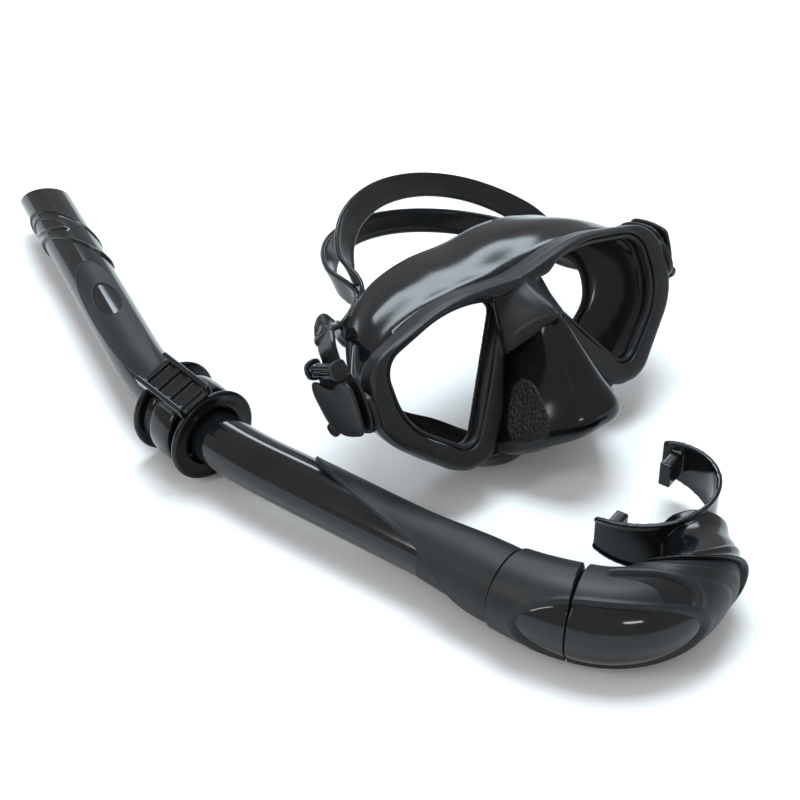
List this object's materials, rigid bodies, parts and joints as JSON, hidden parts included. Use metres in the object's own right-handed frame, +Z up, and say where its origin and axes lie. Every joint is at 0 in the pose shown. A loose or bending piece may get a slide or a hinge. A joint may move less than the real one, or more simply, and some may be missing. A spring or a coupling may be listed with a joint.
{
  "type": "snorkel mask",
  "caption": "Low-volume dive mask with swivel strap buckles, and a J snorkel with keeper and flexible foot lying beside it.",
  "frame": {"origin": "middle of the set's footprint, on the surface it lies on", "axes": "+Z up, the mask faces -Y, the snorkel lies at -X with its open top towards +Y"},
  "size_m": [0.2232, 0.4125, 0.0817],
  "materials": {
    "silicone_black": "glossy",
    "satin_black": "satin",
    "gloss_black": "polished",
    "soft_black": "matte",
    "lens_glass": "clear",
    "steel": "brushed"
  },
  "bodies": {
    "mask": {"frame": "satin_black", "skirt": "silicone_black", "left_lens": "lens_glass", "right_lens": "lens_glass", "left_lens_bezel": "satin_black", "right_lens_bezel": "satin_black", "left_lug": "satin_black", "right_lug": "satin_black", "left_swivel_pin": "satin_black", "right_swivel_pin": "satin_black", "strap": "silicone_black"},
    "left_buckle": {"left_buckle_base": "satin_black", "left_lever_pin": "steel", "left_lever_spring": "steel", "left_strap_tail": "silicone_black"},
    "left_lever": {"left_lever": "satin_black"},
    "left_roller": {"left_roller": "gloss_black"},
    "right_buckle": {"right_buckle_base": "satin_black", "right_lever_pin": "steel", "right_lever_spring": "steel", "right_strap_tail": "silicone_black"},
    "right_lever": {"right_lever": "satin_black"},
    "right_roller": {"right_roller": "gloss_black"},
    "snorkel": {"barrel": "gloss_black", "tip_band": "soft_black", "upper_grip": "soft_black", "lower_grip": "soft_black"},
    "keeper_spool": {"keeper_spool": "silicone_black"},
    "keeper_clip": {"keeper_clip": "gloss_black"},
    "sleeve": {"sleeve": "soft_black", "sleeve_inlay": "gloss_black"},
    "elbow": {"elbow": "soft_black", "elbow_inlay": "gloss_black", "mouthpiece": "silicone_black"}
  },
  "joints": [
    {"name": "left_buckle_swivel", "type": "hinge", "parent": "mask", "child": "left_buckle", "pos_m": [-0.06365, -0.05345, 0.04965], "axis": [1, 0, 0], "range_deg": [-15, 15]},
    {"name": "right_buckle_swivel", "type": "hinge", "parent": "mask", "child": "right_buckle", "pos_m": [0.10435, -0.05345, 0.04965], "axis": [1, 0, 0], "range_deg": [-15, 15]},
    {"name": "left_lever_press", "type": "hinge", "parent": "left_buckle", "child": "left_lever", "pos_m": [-0.06625, -0.05376, 0.04585], "axis": [0, 0.8829, -0.4695], "range_deg": [0, 5], "stiffness_Nm_per_rad": 0.02},
    {"name": "right_lever_press", "type": "hinge", "parent": "right_buckle", "child": "right_lever", "pos_m": [0.10695, -0.05722, 0.04917], "axis": [0, 0.2756, 0.9613], "range_deg": [0, 5], "stiffness_Nm_per_rad": 0.02},
    {"name": "left_roller_spin", "type": "hinge", "parent": "left_buckle", "child": "left_roller", "pos_m": [-0.06785, -0.0432, 0.06572], "axis": [0, 0.8829, -0.4695], "continuous": true},
    {"name": "right_roller_spin", "type": "hinge", "parent": "right_buckle", "child": "right_roller", "pos_m": [0.10855, -0.03559, 0.04297], "axis": [0, -0.2756, -0.9613], "continuous": true},
    {"name": "snorkel_place", "type": "slide", "parent": "mask", "child": "snorkel", "axis": [-1, 0, 0], "range_m": [0, 0.12]},
    {"name": "keeper_slide", "type": "slide", "parent": "snorkel", "child": "keeper_spool", "axis": [0, -1, 0], "range_m": [-0.005, 0.005]},
    {"name": "keeper_clip_turn", "type": "hinge", "parent": "keeper_spool", "child": "keeper_clip", "pos_m": [-0.09165, 0.0148, 0.02], "axis": [0, -1, 0], "continuous": true},
    {"name": "sleeve_flex", "type": "hinge", "parent": "snorkel", "child": "sleeve", "pos_m": [-0.08024, -0.14717, 0.02], "axis": [0, 0, 1], "range_deg": [0, 5], "stiffness_Nm_per_rad": 0.5},
    {"name": "elbow_flex", "type": "hinge", "parent": "sleeve", "child": "elbow", "pos_m": [-0.0685, -0.17777, 0.02], "axis": [0, 0, 1], "range_deg": [0, 5], "stiffness_Nm_per_rad": 0.5}
  ],
  "couplings": [
    {"joint": "elbow_flex", "follows": "sleeve_flex", "ratio": 1}
  ]
}
